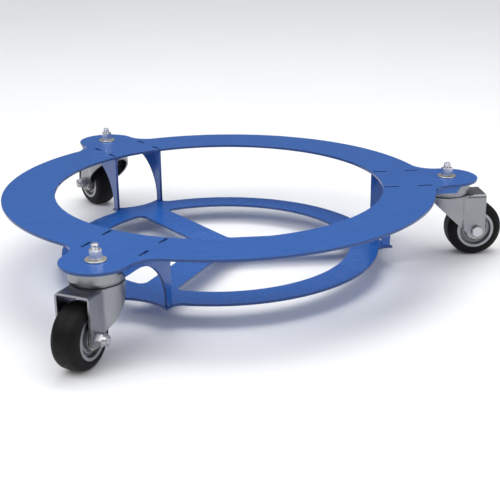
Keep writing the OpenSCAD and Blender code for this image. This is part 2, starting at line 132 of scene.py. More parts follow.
class Graph:
    """A material's node tree with short calls for the nodes that the finishes share."""

    def __init__(self, name: str) -> None:
        """Starts an empty material with one principled shader.

        Args:
            name: the material's name.
        """
        self.material = bpy.data.materials.new(name)
        self.material.use_nodes = True
        self.nodes = self.material.node_tree.nodes
        self.links = self.material.node_tree.links
        self.nodes.clear()
        self.out = self.nodes.new("ShaderNodeOutputMaterial")
        self.shader = self.nodes.new("ShaderNodeBsdfPrincipled")
        self.links.new(self.shader.outputs["BSDF"], self.out.inputs["Surface"])
        self.place = self.nodes.new("ShaderNodeTexCoord").outputs["Object"]

    def set(self, **values: float) -> None:
        """Sets constant numbers on the shader's own sockets, with underscores for spaces."""
        for key, value in values.items():
            self.shader.inputs[key.replace("_", " ")].default_value = value

    def feed(self, socket: str, source: bpy.types.NodeSocket) -> None:
        """Links a source to one of the shader's sockets."""
        self.links.new(source, self.shader.inputs[socket])

    def noise(self, scale: float, detail: float = 2.0,
              rough: float = 0.5) -> bpy.types.NodeSocket:
        """A noise texture on object coordinates.

        Args:
            scale: cycles for each metre.
            detail: octaves.
            rough: strength of the finer octaves.

        Returns:
            The noise's factor, from 0 to 1.
        """
        node = self.nodes.new("ShaderNodeTexNoise")
        node.inputs["Scale"].default_value = scale
        node.inputs["Detail"].default_value = detail
        node.inputs["Roughness"].default_value = rough
        self.links.new(self.place, node.inputs["Vector"])
        return node.outputs["Factor"] if "Factor" in node.outputs else node.outputs["Fac"]

    def cells(self, scale: float) -> bpy.types.NodeSocket:
        """A random value for each cell of a Voronoi texture.

        Args:
            scale: cells for each metre.

        Returns:
            A grey value for each cell.
        """
        node = self.nodes.new("ShaderNodeTexVoronoi")
        node.inputs["Scale"].default_value = scale
        self.links.new(self.place, node.inputs["Vector"])
        split = self.nodes.new("ShaderNodeSeparateColor")
        self.links.new(node.outputs["Color"], split.inputs["Color"])
        return split.outputs["Red"]

    def attribute(self, name: str) -> bpy.types.NodeSocket:
        """The number that a mesh attribute holds, 0 where the mesh has none."""
        node = self.nodes.new("ShaderNodeAttribute")
        node.attribute_name = name
        return node.outputs["Fac"]

    def ramp(self, source: bpy.types.NodeSocket, low: float, high: float,
             to_low: float = 0.0, to_high: float = 1.0) -> bpy.types.NodeSocket:
        """Maps a range of a value to another range.

        Args:
            source: the value.
            low: start of its range.
            high: end of its range.
            to_low: result at the start.
            to_high: result at the end.

        Returns:
            The mapped value, clamped.
        """
        node = self.nodes.new("ShaderNodeMapRange")
        for name, value in (("From Min", low), ("From Max", high),
                            ("To Min", to_low), ("To Max", to_high)):
            node.inputs[name].default_value = value
        self.links.new(source, node.inputs["Value"])
        return node.outputs["Result"]

    def math(self, operation: str, a: bpy.types.NodeSocket,
             b: bpy.types.NodeSocket | float) -> bpy.types.NodeSocket:
        """A math node.

        Args:
            operation: the node's operation.
            a: first value.
            b: second value or number.

        Returns:
            The result.
        """
        node = self.nodes.new("ShaderNodeMath")
        node.operation = operation
        self.links.new(a, node.inputs[0])
        if isinstance(b, float):
            node.inputs[1].default_value = b
        else:
            self.links.new(b, node.inputs[1])
        return node.outputs[0]

    def mix(self, factor: bpy.types.NodeSocket, a: Sequence[float] | bpy.types.NodeSocket,
            b: Sequence[float]) -> bpy.types.NodeSocket:
        """Mixes two colours.

        Args:
            factor: 0 for the first colour and 1 for the second.
            a: first colour or a socket.
            b: second colour.

        Returns:
            The mixed colour.
        """
        node = self.nodes.new("ShaderNodeMix")
        node.data_type = "RGBA"
        self.links.new(factor, node.inputs["Factor"])
        if isinstance(a, bpy.types.NodeSocket):
            self.links.new(a, node.inputs[6])
        else:
            node.inputs[6].default_value = (*a, 1.0)
        node.inputs[7].default_value = (*b, 1.0)
        return node.outputs[2]

    def bump(self, height: bpy.types.NodeSocket, strength: float, depth: float,
             under: bpy.types.NodeSocket | None = None) -> bpy.types.NodeSocket:
        """A bump from a height value.

        Args:
            height: the height, from 0 to 1.
            strength: share of the bump that shows.
            depth: depth of the relief, in metres.
            under: another bump to lay this one on.

        Returns:
            The bumped normal.
        """
        node = self.nodes.new("ShaderNodeBump")
        node.inputs["Strength"].default_value = strength
        node.inputs["Distance"].default_value = depth
        self.links.new(height, node.inputs["Height"])
        if under is not None:
            self.links.new(under, node.inputs["Normal"])
        return node.outputs["Normal"]


@dataclass(frozen=True)
class PowderCoat:
    """Glossy powder coat with a fine orange peel, and painted shade on the plates' side walls and
    bevels.
    """

    base: tuple[float, float, float] = (0.022, 0.112, 0.412)
    deep: tuple[float, float, float] = (0.021, 0.109, 0.404)
    # edge: painted shade colour for the side walls, bevels and slot walls, which face away from
    # the light
    edge: tuple[float, float, float] = (0.008, 0.050, 0.205)
    peel_scale: float = 520.0
    flow_scale: float = 38.0
    coat: float = 0.42
    coat_rough: float = 0.07
    specular: float = 0.30

    def material(self) -> bpy.types.Material:
        """Builds the material and returns it."""
        g = Graph("blue_powder_coat")
        coat = g.mix(g.ramp(g.noise(14.0, 3.0), 0.35, 0.65), self.base, self.deep)
        # Side walls and bevels take the darker edge colour: painted shade.
        g.feed("Base Color", g.mix(g.attribute("painted_side_shade"), coat, self.edge))
        rough = g.math("ADD", g.ramp(g.noise(self.flow_scale, 3.0), 0.3, 0.7, 0.20, 0.29),
                       g.ramp(g.noise(1900.0, 1.0), 0.3, 0.7, 0.0, 0.05))
        g.feed("Roughness", rough)
        flow = g.bump(g.noise(self.flow_scale * 2.2, 2.0), 0.30, 0.00005)
        g.feed("Normal", g.bump(g.noise(self.peel_scale, 2.0, 0.45), 0.30, 0.00006, flow))
        g.set(Coat_Weight=self.coat, Coat_Roughness=self.coat_rough, IOR=1.5,
              Specular_IOR_Level=self.specular)
        return g.material


@dataclass(frozen=True)
class PlatedSteel:
    """Zinc-plated steel, from satin pressed sheet to bright fasteners."""

    name: str
    base: tuple[float, float, float]
    tint: tuple[float, float, float]
    rough: float
    grain: float = 0.10
    insert: bool = False
    nylon: tuple[float, float, float] = (0.30, 0.34, 0.42)

    def material(self) -> bpy.types.Material:
        """Builds the material and returns it."""
        g = Graph(self.name)
        cloud = g.ramp(g.noise(46.0, 4.0, 0.6), 0.32, 0.68)
        colour = g.mix(cloud, self.base, self.tint)
        speckle = g.ramp(g.cells(1500.0), 0.0, 1.0, 0.0, 0.5)
        colour = g.mix(g.math("MULTIPLY", speckle, 0.35), colour,
                       tuple(0.72 * c for c in self.base))
        lines = g.noise(900.0, 3.0, 0.6)
        rough = g.math("ADD", g.ramp(lines, 0.25, 0.75, self.rough - 0.06, self.rough + 0.06),
                       g.ramp(cloud, 0.0, 1.0, 0.0, 0.07))
        if self.insert:
            ring = g.attribute("insert")
            g.feed("Base Color", g.mix(ring, colour, self.nylon))
            g.feed("Metallic", g.ramp(ring, 0.0, 1.0, 1.0, 0.0))
            g.feed("Roughness", g.math("MAXIMUM", rough, g.ramp(ring, 0.0, 1.0, 0.0, 0.45)))
        else:
            g.feed("Base Color", colour)
            g.feed("Roughness", rough)
            g.set(Metallic=1.0)
        soft = g.bump(g.noise(120.0, 2.0), 0.25, 0.00008)
        g.feed("Normal", g.bump(lines, self.grain, 0.00004, soft))
        return g.material


@dataclass(frozen=True)
class BearingSteel:
    """Ground steel with a thin film of grease."""

    base: tuple[float, float, float] = (0.50, 0.49, 0.47)
    grease: tuple[float, float, float] = (0.30, 0.26, 0.20)

    def material(self) -> bpy.types.Material:
        """Builds the material and returns it."""
        g = Graph("ground_bearing_steel")
        film = g.ramp(g.noise(180.0, 3.0), 0.42, 0.62)
        g.feed("Base Color", g.mix(film, self.base, self.grease))
        g.feed("Roughness", g.ramp(g.noise(700.0, 2.0), 0.3, 0.7, 0.14, 0.30))
        g.feed("Normal", g.bump(g.noise(1500.0, 1.0), 0.10, 0.00002))
        g.set(Metallic=1.0)
        return g.material


@dataclass(frozen=True)
class Rubber:
    """Moulded black rubber with a dull skin."""

    base: tuple[float, float, float] = (0.005, 0.005, 0.0056)
    bloom: tuple[float, float, float] = (0.009, 0.009, 0.0096)
    specular: float = 0.14

    def material(self) -> bpy.types.Material:
        """Builds the material and returns it."""
        g = Graph("black_moulded_rubber")
        dust = g.ramp(g.noise(60.0, 5.0, 0.65), 0.42, 0.70)
        g.feed("Base Color", g.mix(dust, self.base, self.bloom))
        g.feed("Roughness", g.ramp(g.noise(210.0, 3.0), 0.3, 0.7, 0.46, 0.58))
        skin = g.bump(g.noise(1400.0, 3.0, 0.6), 0.22, 0.00005)
        g.feed("Normal", g.bump(g.noise(90.0, 2.0), 0.15, 0.00010, skin))
        g.set(IOR=1.5, Specular_IOR_Level=self.specular)
        return g.material


@dataclass(frozen=True)
class PaleFloor:
    """Matt pale studio floor."""

    colour: tuple[float, float, float] = (0.90, 0.90, 0.90)

    def material(self) -> bpy.types.Material:
        """Builds the material and returns it."""
        g = Graph("pale_floor")
        shade = tuple(0.985 * c for c in self.colour)
        g.feed("Base Color", g.mix(g.ramp(g.noise(3.0, 3.0), 0.3, 0.7), self.colour, shade))
        g.set(Roughness=0.9, Specular_IOR_Level=0.2)
        return g.material


class Finishes:
    """All the materials, made once and handed to the pieces."""

    def __init__(self) -> None:
        """Builds each finish."""
        self.deck = PowderCoat().material()
        self.sheet = PlatedSteel("satin_zinc_sheet", (0.305, 0.31, 0.33), (0.28, 0.29, 0.315),
                                 0.29, 0.10).material()
        self.bright = PlatedSteel("bright_zinc_fasteners", (0.80, 0.80, 0.85),
                                  (0.76, 0.76, 0.78), 0.30, 0.05, insert=True).material()
        # The axle bolts and nuts take a darker copy of the bright zinc: painted shade.
        self.axle = PlatedSteel("shaded_zinc_axle_bolts", (0.58, 0.58, 0.61),
                                (0.53, 0.53, 0.55), 0.33, 0.06, insert=True).material()
        self.washer = PlatedSteel("yellowed_zinc_washers", (0.82, 0.79, 0.72),
                                  (0.78, 0.75, 0.67), 0.30, 0.06).material()
        self.wheel = PlatedSteel("satin_wheel_core", (0.36, 0.37, 0.39), (0.33, 0.34, 0.36),
                                 0.36, 0.12).material()
        self.bearing = BearingSteel().material()
        self.tyre = Rubber().material()
        self.floor = PaleFloor().material()


# ---------------------------------------------------------------- mesh building


def new_object(name: str, mesh: bpy.types.Mesh, material: bpy.types.Material | None = None
               ) -> bpy.types.Object:
    """Links a mesh as an object at the origin.

    Args:
        name: the object's name.
        mesh: its mesh.
        material: a material to put in its first slot.

    Returns:
        The new object.
    """
    mesh.name = name
    obj = bpy.data.objects.new(name, mesh)
    bpy.context.scene.collection.objects.link(obj)
    if material is not None:
        mesh.materials.clear()
        mesh.materials.append(material)
    return obj


def mesh_from(verts: Iterable[Sequence[float]], faces: Iterable[Sequence[int]],
              merge_mm: float = 0.0005) -> bpy.types.Mesh:
    """A mesh in metres from points in millimetres, merged and with its faces outwards.

    Args:
        verts: points in millimetres.
        faces: indices of each face's corners.
        merge_mm: points nearer than this are merged.

    Returns:
        The mesh.
    """
    mesh = bpy.data.meshes.new("made")
    mesh.from_pydata([tuple(c * MM for c in v) for v in verts], [], list(faces))
    work = bmesh.new()
    work.from_mesh(mesh)
    bmesh.ops.remove_doubles(work, verts=work.verts, dist=merge_mm * MM)
    bmesh.ops.dissolve_degenerate(work, edges=work.edges, dist=SLIVER)
    bmesh.ops.recalc_face_normals(work, faces=work.faces)
    work.to_mesh(mesh)
    work.free()
    mesh.update()
    return mesh


def shade(mesh: bpy.types.Mesh, angle: float = SHARP_ANGLE) -> None:
    """Shades a mesh smooth, but for edges sharper than an angle."""
    mesh.polygons.foreach_set("use_smooth", [True] * len(mesh.polygons))
    mesh.set_sharp_from_angle(angle=angle)


def bake(obj: bpy.types.Object) -> bpy.types.Object:
    """Turns an object's live modifiers into a plain mesh, and removes them.

    Args:
        obj: an object with modifiers.

    Returns:
        The same object, with no modifiers.
    """
    graph = bpy.context.evaluated_depsgraph_get()
    graph.update()
    mesh = bpy.data.meshes.new_from_object(obj.evaluated_get(graph),
                                           preserve_all_data_layers=True, depsgraph=graph)
    obj.modifiers.clear()
    obj.data = mesh
    mesh.name = obj.name
    return obj


def join(name: str, parts: Sequence[bpy.types.Mesh]) -> bpy.types.Mesh:
    """One mesh from several, with the shading of each kept.

    Args:
        name: the new mesh's name.
        parts: the meshes.

    Returns:
        The joined mesh.
    """
    work = bmesh.new()
    for part in parts:
        work.from_mesh(part)
    mesh = bpy.data.meshes.new(name)
    work.to_mesh(mesh)
    work.free()
    return mesh


def arc(centre: Point, radius: float, start: float, end: float, steps: int) -> Loop:
    """Points on an arc.

    Args:
        centre: the arc's centre.
        radius: its radius.
        start: first angle, in degrees.
        end: last angle, in degrees.
        steps: number of segments.

    Returns:
        The points, both ends among them.
    """
    span = [math.radians(start + (end - start) * i / steps) for i in range(steps + 1)]
    return [(centre[0] + radius * math.cos(a), centre[1] + radius * math.sin(a)) for a in span]


def bearing_deg(centre: Point, point: Point) -> float:
    """Angle of a point as seen from a centre, in degrees."""
    return math.degrees(math.atan2(point[1] - centre[1], point[0] - centre[0]))


def mirrored(loop: Loop) -> Loop:
    """A chain of points mirrored in the x axis and run backwards."""
    return [(x, -y) for x, y in reversed(loop)]


def turned(loop: Loop, angle: float) -> Loop:
    """A chain of points turned about the origin, in radians."""
    c, s = math.cos(angle), math.sin(angle)
    return [(x * c - y * s, x * s + y * c) for x, y in loop]


def rounded(profile: Sequence[tuple[float, float, float]], support: float = 0.12,
            steps: int = 4, closed: bool = True) -> Loop:
    """Rounds the corners of a profile, with a support point beside each rounding.

    Args:
        profile: x, y and corner radius of each corner.
        support: distance from a rounding's end to its support point.
        steps: segments of each rounding.
        closed: whether the last corner joins the first.

    Returns:
        The rounded chain of points.
    """
    out: Loop = []
    count = len(profile)
    for i, (x, y, radius) in enumerate(profile):
        if radius <= 0 or (not closed and i in (0, count - 1)):
            out.append((x, y))
            continue
        here = Vector((x, y))
        before = Vector(profile[i - 1][:2]) - here
        after = Vector(profile[(i + 1) % count][:2]) - here
        half = before.angle(after) / 2
        reach = radius / math.tan(half)
        reach = min(reach, LONGEST_REACH * before.length, LONGEST_REACH * after.length)
        bend = reach * math.tan(half)
        a, b = here + before.normalized() * reach, here + after.normalized() * reach
        middle = here + (before.normalized() + after.normalized()).normalized() * (
            bend / math.sin(half))
        start, end = bearing_deg(tuple(middle), tuple(a)), bearing_deg(tuple(middle), tuple(b))
        sweep = (end - start + 180) % 360 - 180
        gap = min(support, LONGEST_SUPPORT * before.length, LONGEST_SUPPORT * after.length)
        out.append(tuple(a + before.normalized() * gap))
        out.extend(arc(tuple(middle), bend, start, start + sweep, steps))
        out.append(tuple(b + after.normalized() * gap))
    return out


def lathe(profile: Loop, steps: int = 72, closed: bool = True) -> bpy.types.Mesh:
    """Turns a profile about the z axis.

    Args:
        profile: radius and height of each point, in millimetres.
        steps: segments round the axis.
        closed: whether the profile closes on itself, as a ring's does.

    Returns:
        The turned mesh.
    """
    count = len(profile)
    verts = [(r * math.cos(2 * math.pi * k / steps), r * math.sin(2 * math.pi * k / steps), z)
             for k in range(steps) for r, z in profile]
    faces = []
    for k in range(steps):
        for i in range(count if closed else count - 1):
            j = (i + 1) % count
            a, b = k * count, ((k + 1) % steps) * count
            faces.append((a + i, b + i, b + j, a + j))
    mesh = mesh_from(verts, faces)
    shade(mesh)
    return mesh


def plate(outline: Loop, holes: Sequence[Loop], thick: float, edge: float,
          place: Matrix) -> bpy.types.Mesh:
    """A flat plate with holes and softly rounded edges.

    Args:
        outline: the outer edge, in millimetres.
        holes: the holes' edges.
        thick: the plate's thickness.
        edge: radius of its edges.
        place: where the plate goes; its middle plane is z = 0.

    Returns:
        The mesh, flat faces flat and edges smooth.
    """
    curve = bpy.data.curves.new("plate", "CURVE")
    curve.dimensions = "2D"
    curve.fill_mode = "BOTH"
    curve.extrude = (thick / 2 - edge) * MM
    curve.bevel_depth = edge * MM
    curve.bevel_resolution = 2
    curve.offset = -edge * MM
    for loop in (outline, *holes):
        spline = curve.splines.new("POLY")
        spline.points.add(len(loop) - 1)
        for point, (x, y) in zip(spline.points, loop):
            point.co = (x * MM, y * MM, 0.0, 1.0)
        spline.use_cyclic_u = True
    holder = bpy.data.objects.new("plate", curve)
    bpy.context.scene.collection.objects.link(holder)
    graph = bpy.context.evaluated_depsgraph_get()
    graph.update()
    mesh = bpy.data.meshes.new_from_object(holder.evaluated_get(graph), depsgraph=graph)
    bpy.data.objects.remove(holder)
    bpy.data.curves.remove(curve)
    work = bmesh.new()
    work.from_mesh(mesh)
    bmesh.ops.remove_doubles(work, verts=work.verts, dist=PLATE_MERGE)
    bmesh.ops.recalc_face_normals(work, faces=work.faces)
    for face in work.faces:
        face.smooth = abs(face.normal.z) < FLAT_COSINE
    # Side and bevel faces are marked as the mask for the coat's painted shade.
    cut = [1.0 if face.smooth else 0.0 for face in work.faces]
    work.to_mesh(mesh)
    work.free()
    mesh.attributes.new("painted_side_shade", "FLOAT", "FACE").data.foreach_set("value", cut)
    mesh.transform(place)
    mesh.update()
    return mesh


def hex_body(flats: float, height: float, bore: float, chamfer_foot: bool = True,
             per_side: int = 12) -> bpy.types.Mesh:
    """A hexagonal prism with turned chamfers, standing on z = 0.

    Args:
        flats: width across the flats.
        height: height of the hexagon.
        bore: radius of the hole, or 0 for a solid head.
        chamfer_foot: whether the lower end is chamfered too.
        per_side: columns of faces on each side.

    Returns:
        The mesh.
    """
    columns = 6 * per_side
    slope = math.tan(HEX_CHAMFER)
    face_r = flats / 2 - HEX_FACE_STEP
    rows: list[list[tuple[float, float, float]]] = []
    for k in range(columns):
        a = 2 * math.pi * k / columns
        side = (math.degrees(a) + 30) % 60 - 30
        r = min(flats / 2 / math.cos(math.radians(side)), flats / 2 * HEX_CORNER_FACTOR)
        drop = (r - face_r) * slope
        chain = [(bore, height), (face_r - HEX_FACE_RING, height), (face_r, height),
                 (r, height - drop), (r, drop if chamfer_foot else 0.0)]
        if chamfer_foot:
            chain += [(face_r, 0.0)]
        chain += [(bore, 0.0)]
        rows.append([(q * math.cos(a), q * math.sin(a), z) for q, z in chain])
    count = len(rows[0])
    verts = [p for row in rows for p in row]
    faces = []
    for k in range(columns):
        a, b = k * count, ((k + 1) % columns) * count
        closing = range(count) if bore > 0 else range(count - 1)
        for i in closing:
            j = (i + 1) % count
            faces.append((a + i, b + i, b + j, a + j))
    mesh = mesh_from(verts, faces)
    shade(mesh, HEX_SHARP_ANGLE)
    return mesh


# ---------------------------------------------------------------- geometry nodes


class Tree:
    """A geometry node tree that is built in code and run once on an object."""

    def __init__(self, name: str) -> None:
        """Starts a tree with a geometry input and output.

        Args:
            name: the tree's name.
        """
        self.group = bpy.data.node_groups.new(name, "GeometryNodeTree")
        self.nodes, self.links = self.group.nodes, self.group.links
        self.ids: dict[str, str] = {}
        self.group.interface.new_socket("Geometry", in_out="INPUT",
                                        socket_type="NodeSocketGeometry")
        self.group.interface.new_socket("Geometry", in_out="OUTPUT",
                                        socket_type="NodeSocketGeometry")
        self.source = self.nodes.new("NodeGroupInput")
        self.target = self.nodes.new("NodeGroupOutput")

    def ask(self, name: str, kind: str) -> None:
        """Adds a named input of a kind, such as Float, Int or Material."""
        socket = self.group.interface.new_socket(name, in_out="INPUT",
                                                 socket_type=f"NodeSocket{kind}")
        self.ids[name] = socket.identifier

    def node(self, kind: str, **settings: object) -> bpy.types.Node:
        """Adds a node and sets its properties.

        Args:
            kind: the node's type.
            **settings: its properties.

        Returns:
            The node.
        """
        node = self.nodes.new(kind)
        for key, value in settings.items():
            setattr(node, key, value)
        return node

    def link(self, source: bpy.types.NodeSocket, target: bpy.types.NodeSocket) -> None:
        """Links two sockets."""
        self.links.new(source, target)

    def close(self, geometry: bpy.types.NodeSocket) -> None:
        """Ends the tree with Realize Instances and Set Material."""
        real = self.node("GeometryNodeRealizeInstances")
        dress = self.node("GeometryNodeSetMaterial")
        self.link(geometry, real.inputs[0])
        self.link(real.outputs[0], dress.inputs["Geometry"])
        self.link(self.source.outputs["Material"], dress.inputs["Material"])
        self.link(dress.outputs[0], self.target.inputs[0])

    def run(self, name: str, mesh: bpy.types.Mesh, **inputs: object) -> bpy.types.Object:
        """Runs the tree on a mesh and keeps the result as a plain mesh.

        Args:
            name: the new object's name.
            mesh: the mesh that goes in.
            **inputs: a value for each named input, with underscores for spaces.

        Returns:
            The finished object.
        """
        obj = new_object(name, mesh)
        modifier = obj.modifiers.new("tree", "NODES")
        modifier.node_group = self.group
        for key, value in inputs.items():
            modifier[self.ids[key.replace("_", " ")]] = value
        return bake(obj)


def ring_tree() -> Tree:
    """A tree that repeats a mesh about the z axis.

    Returns:
        The tree, with the inputs Count and Material.
    """
    tree = Tree("repeat_about_axis")
    tree.ask("Count", "Int")
    tree.ask("Material", "Material")
    line = tree.node("GeometryNodePoints")
    tree.link(tree.source.outputs["Count"], line.inputs["Count"])
    index = tree.node("GeometryNodeInputIndex")
    step = tree.node("ShaderNodeMath", operation="DIVIDE")
    step.inputs[0].default_value = 2 * math.pi
    tree.link(tree.source.outputs["Count"], step.inputs[1])
    angle = tree.node("ShaderNodeMath", operation="MULTIPLY")
    tree.link(index.outputs[0], angle.inputs[0])
    tree.link(step.outputs[0], angle.inputs[1])
    turn = tree.node("ShaderNodeCombineXYZ")
    tree.link(angle.outputs[0], turn.inputs["Z"])
    copies = tree.node("GeometryNodeInstanceOnPoints")
    tree.link(line.outputs[0], copies.inputs["Points"])
    tree.link(tree.source.outputs["Geometry"], copies.inputs["Instance"])
    tree.link(turn.outputs[0], copies.inputs["Rotation"])
    tree.close(copies.outputs[0])
    return tree


def thread_tree() -> Tree:
    """A tree that winds a thread's ridge along a helix.

    Returns:
        The tree, with the inputs Radius, Pitch, Length, Depth and Material, in metres.
    """
    tree = Tree("screw_thread")
    for name in ("Radius", "Pitch", "Length", "Depth"):
        tree.ask(name, "Float")
    tree.ask("Material", "Material")
    turns = tree.node("ShaderNodeMath", operation="DIVIDE")
    tree.link(tree.source.outputs["Length"], turns.inputs[0])
    tree.link(tree.source.outputs["Pitch"], turns.inputs[1])
    helix = tree.node("GeometryNodeCurveSpiral")
    helix.inputs["Resolution"].default_value = 40
    tree.link(turns.outputs[0], helix.inputs["Rotations"])
    tree.link(tree.source.outputs["Radius"], helix.inputs["Start Radius"])
    tree.link(tree.source.outputs["Radius"], helix.inputs["End Radius"])
    tree.link(tree.source.outputs["Length"], helix.inputs["Height"])
    ridge = tree.node("GeometryNodeCurvePrimitiveCircle")
    ridge.inputs["Resolution"].default_value = 6
    tree.link(tree.source.outputs["Depth"], ridge.inputs["Radius"])
    sweep = tree.node("GeometryNodeCurveToMesh")
    sweep.inputs["Fill Caps"].default_value = True
    tree.link(helix.outputs[0], sweep.inputs["Curve"])
    tree.link(ridge.outputs[0], sweep.inputs["Profile Curve"])
    both = tree.node("GeometryNodeJoinGeometry")
    tree.link(sweep.outputs[0], both.inputs[0])
    tree.link(tree.source.outputs["Geometry"], both.inputs[0])
    tree.close(both.outputs[0])
    return tree


# ---------------------------------------------------------------- deck


@dataclass
class Deck:
    """The welded blue deck: the ring, the lower plate and six gussets."""

    opening_r: float = 304.8
    ring_r: float = 400.87
    plate_t: float = 4.8
    gap: float = 110.6
    caster_r: float = 436.3
    ear_r: float = 58.0
    ear_blend_r: float = 45.0
    stem_hole_r: float = 6.75
    gusset_x: float = 301.16
    gusset_y: float = 52.5
    gusset_t: float = 4.8
    leg_w: float = 15.9
    arm_h: float = 12.7
    foot_h: float = 7.9
    tab_inset: float = 3.5
    tab_pitch: float = 62.8
    tab_len: float = 26.0
    tab_recess: float = 1.5
    foot_tab_len: float = 9.9
    slot_gap: float = 0.3
    base_r: float = 300.0
    window_r: float = 246.0
    arm_w: float = 61.0
    window_corner_r: float = 12.7
    lobe_y: float = 56.3
    lobe_blend_r: float = 20.0
    scallop_r: float = 96.5
    scallop_x: float = 400.04
    edge: float = 0.55
    gusset_edge: float = 0.45
    arm_end_x: float = 450.03
    arm_end_slant: float = 9.0
    ear_steps: int = 26
    ear_blend_steps: int = 16
    rim_steps: int = 40
    opening_steps: int = 240
    stem_hole_steps: int = 32
    hub_corner_steps: int = 6
    corner_steps: int = 14
    scallop_steps: int = 30
    leg_curve_steps: int = 36
    trees: dict[str, Tree] = field(default_factory=dict)

    def slot(self, x: float, length: float, side: int) -> Loop:
        """The edge of a slot for a gusset's tab.

        Args:
            x: where the tab starts.
            length: the tab's length.
            side: 1 or -1 for the gusset on either side.

        Returns:
            The slot's edge, with small round corners.
        """
        g = self.slot_gap
        low = side * self.gusset_y - self.gusset_t / 2 - g
        high = side * self.gusset_y + self.gusset_t / 2 + g
        corners = [(x - g, low, 0.5), (x + length + g, low, 0.5),
                   (x + length + g, high, 0.5), (x - g, high, 0.5)]
        return rounded(corners, steps=2)

    def ring(self) -> bpy.types.Mesh:
        """Builds the flat ring with its three ears."""
        r1, r2 = self.ring_r + self.ear_blend_r, self.ear_r + self.ear_blend_r
        x = (r1 * r1 - r2 * r2 + self.caster_r ** 2) / (2 * self.caster_r)
        blend = (x, math.sqrt(r1 * r1 - x * x))
        ear = (self.caster_r, 0.0)
        on_ring = bearing_deg((0, 0), blend)
        on_ear = bearing_deg(ear, blend)
        half = arc(ear, self.ear_r, 0, on_ear, self.ear_steps)
        at_ear = half[-1]
        at_ring = (self.ring_r * math.cos(math.radians(on_ring)),
                   self.ring_r * math.sin(math.radians(on_ring)))
        start, end = bearing_deg(blend, at_ear), bearing_deg(blend, at_ring)
        sweep = (end - start + 180) % 360 - 180
        half += arc(blend, self.ear_blend_r, start, start + sweep, self.ear_blend_steps)[1:]
        half += arc((0, 0), self.ring_r, on_ring, HALF_THIRD, self.rim_steps)[1:]
        third = mirrored(half)[1:] + half[1:]
        outline = [p for k in range(3) for p in turned(third, k * EAR_STEP)]
        holes = [arc((0, 0), self.opening_r, 0, 360, self.opening_steps)[:-1]]
        for k in range(3):
            stem_hole = arc(ear, self.stem_hole_r, 0, 360, self.stem_hole_steps)[:-1]
            holes.append(turned(stem_hole, k * EAR_STEP))
            for side in (1, -1):
                for i in (0, 1):
                    start_x = self.gusset_x + self.tab_inset + i * self.tab_pitch
                    holes.append(turned(self.slot(start_x, self.tab_len, side), k * EAR_STEP))
        place = Matrix.Translation((0, 0, (self.gap + self.plate_t / 2) * MM))
        return plate(outline, holes, self.plate_t, self.edge, place)

    def window(self) -> Loop:
        """The edge of the lower plate's window that starts at the arm on +X."""
        a, f = self.arm_w / 2, self.window_corner_r
        rim = (math.sqrt((self.window_r - f) ** 2 - (a + f) ** 2), a + f)
        hub = ((a + f) / math.tan(math.radians(HALF_THIRD)), a + f)
        to_rim = bearing_deg((0, 0), rim)
        half = arc(hub, f, 240, 270, self.hub_corner_steps)
        half += arc(rim, f, -90, to_rim, self.corner_steps)
        half += arc((0, 0), self.window_r, to_rim, HALF_THIRD, self.rim_steps)[1:]
        u = (math.cos(math.radians(HALF_THIRD)), math.sin(math.radians(HALF_THIRD)))
        other = []
        for x, y in half:
            d = x * u[0] + y * u[1]
            other.append((2 * d * u[0] - x, 2 * d * u[1] - y))
        loop = half + list(reversed(other))[1:]
        return loop[:-1] if math.dist(loop[0], loop[-1]) < 1e-3 else loop

    def base(self) -> bpy.types.Mesh:
        """Builds the lower plate with its arms, windows, lobes and scallops."""
        y = self.lobe_y + self.lobe_blend_r
        r = self.base_r + self.lobe_blend_r
        blend = (math.sqrt(r * r - y * y), y)
        on_rim = bearing_deg((0, 0), blend)
        middle = (self.scallop_x, 0.0)
        tip = math.degrees(math.asin(self.lobe_y / self.scallop_r))
        half = arc(middle, self.scallop_r, 180, 180 - tip, self.scallop_steps)
        half += arc(blend, self.lobe_blend_r, -90, on_rim - 180, self.corner_steps)
        half += arc((0, 0), self.base_r, on_rim, HALF_THIRD, self.rim_steps)[1:]
        third = mirrored(half)[1:] + half[1:]
        outline = [p for k in range(3) for p in turned(third, k * EAR_STEP)]
        holes = []
        foot_x = self.gusset_x + (self.leg_w - self.foot_tab_len) / 2
        for k in range(3):
            holes.append(turned(self.window(), k * EAR_STEP))
            for side in (1, -1):
                holes.append(turned(self.slot(foot_x, self.foot_tab_len, side), k * EAR_STEP))
        place = Matrix.Translation((0, 0, -self.plate_t / 2 * MM))
        return plate(outline, holes, self.plate_t, self.edge, place)

    def gusset_pair(self) -> bpy.types.Mesh:
        """Builds the two gussets under the first ear."""
        x0, gap, top = self.gusset_x, self.gap, self.gap + self.plate_t - self.tab_recess
        curve_r = gap - self.arm_h - self.foot_h
        curve_x = x0 + self.leg_w + curve_r
        foot_x = x0 + (self.leg_w - self.foot_tab_len) / 2
        low = self.tab_recess - self.plate_t
        loop = [(x0, 0.0), (foot_x, 0.0), (foot_x, low), (foot_x + self.foot_tab_len, low),
                (foot_x + self.foot_tab_len, 0.0), (x0 + self.leg_w, 0.0)]
        loop += arc((curve_x, self.foot_h), curve_r, 180, 90, self.leg_curve_steps)
        loop += [(self.arm_end_x - self.arm_end_slant, gap - self.arm_h), (self.arm_end_x, gap)]
        for i in (1, 0):
            start = x0 + self.tab_inset + i * self.tab_pitch
            loop += [(start + self.tab_len, gap), (start + self.tab_len, top),
                     (start, top), (start, gap)]
        loop += [(x0, gap)]
        upright = Matrix.Rotation(math.pi / 2, 4, "X")
        pair = [plate(loop, [], self.gusset_t, self.gusset_edge,
                      Matrix.Translation((0, side * self.gusset_y * MM, 0)) @ upright)
                for side in (1, -1)]
        return join("gussets", pair)

